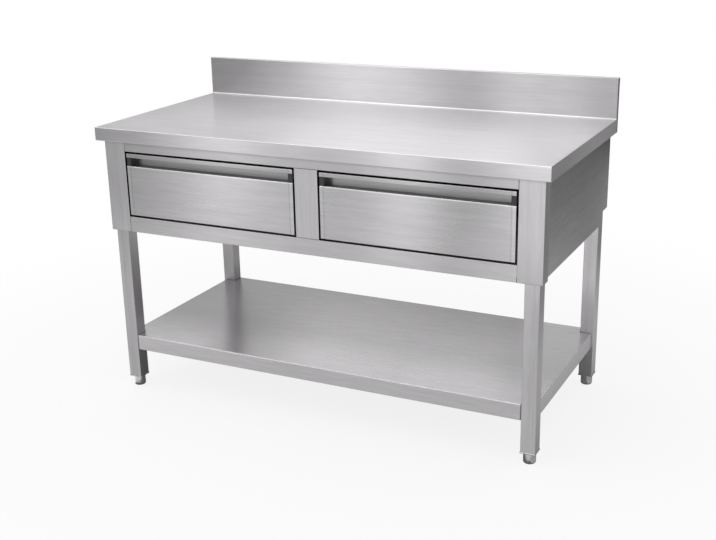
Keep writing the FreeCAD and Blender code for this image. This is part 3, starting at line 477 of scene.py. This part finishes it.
def lamp(name, centre, target, size, power):
    data = bpy.data.lights.new(name, "AREA")
    data.shape = "RECTANGLE"
    data.size, data.size_y = size
    data.energy = power
    piece = bpy.data.objects.new(name, data)
    aim(piece, centre, target, "-Z")
    scene.collection.objects.link(piece)


def bands_along(g, axis, bands):
    """A shade that changes smoothly along an axis through the given places and shades."""
    low, high = bands[0][0], bands[-1][0]
    place = g.parts(g.add("ShaderNodeNewGeometry").outputs["Position"])[axis]
    share = g.add("ShaderNodeMapRange", {"Value": place, "From Min": low, "From Max": high}).outputs["Result"]
    ramp = g.add("ShaderNodeValToRGB", {"Fac": share})
    ramp.color_ramp.interpolation = "EASE"
    stops = ramp.color_ramp.elements
    for at, shade in bands[1:-1]:
        stops.new((at - low) / (high - low)).color = (shade, shade, shade, 1)
    for stop, (at, shade) in ((stops[0], bands[0]), (stops[-1], bands[-1])):
        stop.color = (shade, shade, shade, 1)
    return ramp.outputs["Color"]


def card(name, axis, centre, size, target, bands):
    """A studio card that only reflections see. Its bands are pairs of a place along the axis and a shade there."""
    g = Graph(bpy.data.materials.new(name))
    glow = g.add("ShaderNodeEmission", {"Color": bands_along(g, axis, bands), "Strength": 1.0})
    piece = flat_piece(name, size, g.surface(glow))
    aim(piece, centre, target, "Z")
    for ray in ("camera", "diffuse", "transmission", "shadow", "volume_scatter"):
        setattr(piece, "visible_" + ray, False)


make_floor()
make_world()
lamp("overhead_softbox", (-0.6, -0.9, 3.4), (0, 0, 0.6), (2.6, 2.6), 18)
lamp("front_left_softbox", (-3.2, -2.6, 2.2), (0, 0, 0.6), (1.8, 1.8), 5)

# In front of the table: seen in the cabinet front, the front edges and the fronts of the legs
card("front_card", "X", (-1.1, -2.0, 1.2), (5.4, 2.4), (-1.1, 0, 1.2),
     [(-3.8, 0.22), (-1.95, 0.26), (-1.75, 0.34), (-1.38, 1.12), (-1.06, 0.58), (-0.80, 0.60),
      (-0.62, 0.44), (-0.43, 1.38), (-0.17, 0.31), (-0.08, 0.30), (0.10, 0.98), (1.6, 0.98)])

# On the floor, each for the faces on its side of the table
card("front_floor_card", "X", (-0.9, -1.17, 0.002), (4.4, 1.66), (-0.9, -1.17, 1),
     [(-3.1, 0.42), (-1.3, 0.66), (-0.4, 0.56), (1.3, 0.52)])
card("under_floor_card", "X", (0, 0.01, 0.002), (1.44, 0.70), (0, 0.01, 1), [(-0.72, 0.10), (0.72, 0.11)])
card("behind_floor_card", "X", (-0.2, 0.68, 0.002), (1.9, 0.64), (-0.2, 0.68, 1), [(-1.1, 0.24), (0.7, 0.24)])
card("right_near_floor_card", "Y", (0.785, 0.45, 0.003), (0.13, 1.6), (0.785, 0.45, 1), [(-0.35, 0.31), (1.25, 0.31)])
card("left_floor_card", "X", (-2.0, 0.4, 0.003), (2.1, 1.8), (-2.0, 0.4, 1), [(-3.1, 0.40), (-0.9, 0.40)])
card("right_floor_card", "Y", (1.225, 0.6, 0.002), (0.75, 2.4), (1.225, 0.6, 1), [(-0.6, 0.50), (1.8, 0.43)])

# Over the front and to the left: seen in the rounded folds and the left faces
card("front_strip", "X", (-0.8, -1.2, 3.0), (5.0, 1.0), (-0.8, -1.2, 0), [(-3.3, 2.6), (1.7, 2.6)])
card("left_card", "X", (-2.4, -0.5, 1.2), (3.0, 2.4), (0, -0.5, 1.2), [(-2.5, 0.30), (-2.3, 0.30)])

# Behind the table: seen in the worktop and, low down, in the undershelf
card("behind_card", "X", (-1.3, 2.2, 1.7), (4.6, 1.2), (-1.3, 0, 1.7),
     [(-3.6, 0.40), (-2.5, 0.42), (-1.9, 0.54), (-1.35, 0.98), (-0.4, 1.0), (0.0, 0.56), (1.0, 0.56)])
card("behind_low_card", "X", (0.45, 2.1, 1.12), (1.1, 0.4), (0.45, 0, 1.12), [(-0.1, 0.8), (1.0, 1.1)])
card("low_behind_card", "X", (-0.9, 1.0, 0.33), (4.2, 0.62), (-0.9, 0, 0.33),
     [(-3.0, 0.50), (-0.6, 0.46), (0.0, 0.36), (0.22, 0.38), (0.36, 0.68), (0.58, 0.66), (0.7, 0.34), (1.2, 0.34)])

# To the right: seen in the side panel and the right faces of the legs
card("right_card", "Y", (0.95, 1.4, 1.3), (4.0, 2.1), (0.0, 1.4, 1.3),
     [(-0.6, 0.28), (0.4, 0.22), (1.0, 0.07), (3.4, 0.03)])
card("right_low_card", "Y", (0.95, 1.4, 0.125), (4.0, 0.25), (0.0, 1.4, 0.125), [(-0.6, 0.42), (3.4, 0.42)])

scene.view_settings.view_transform = "Standard"
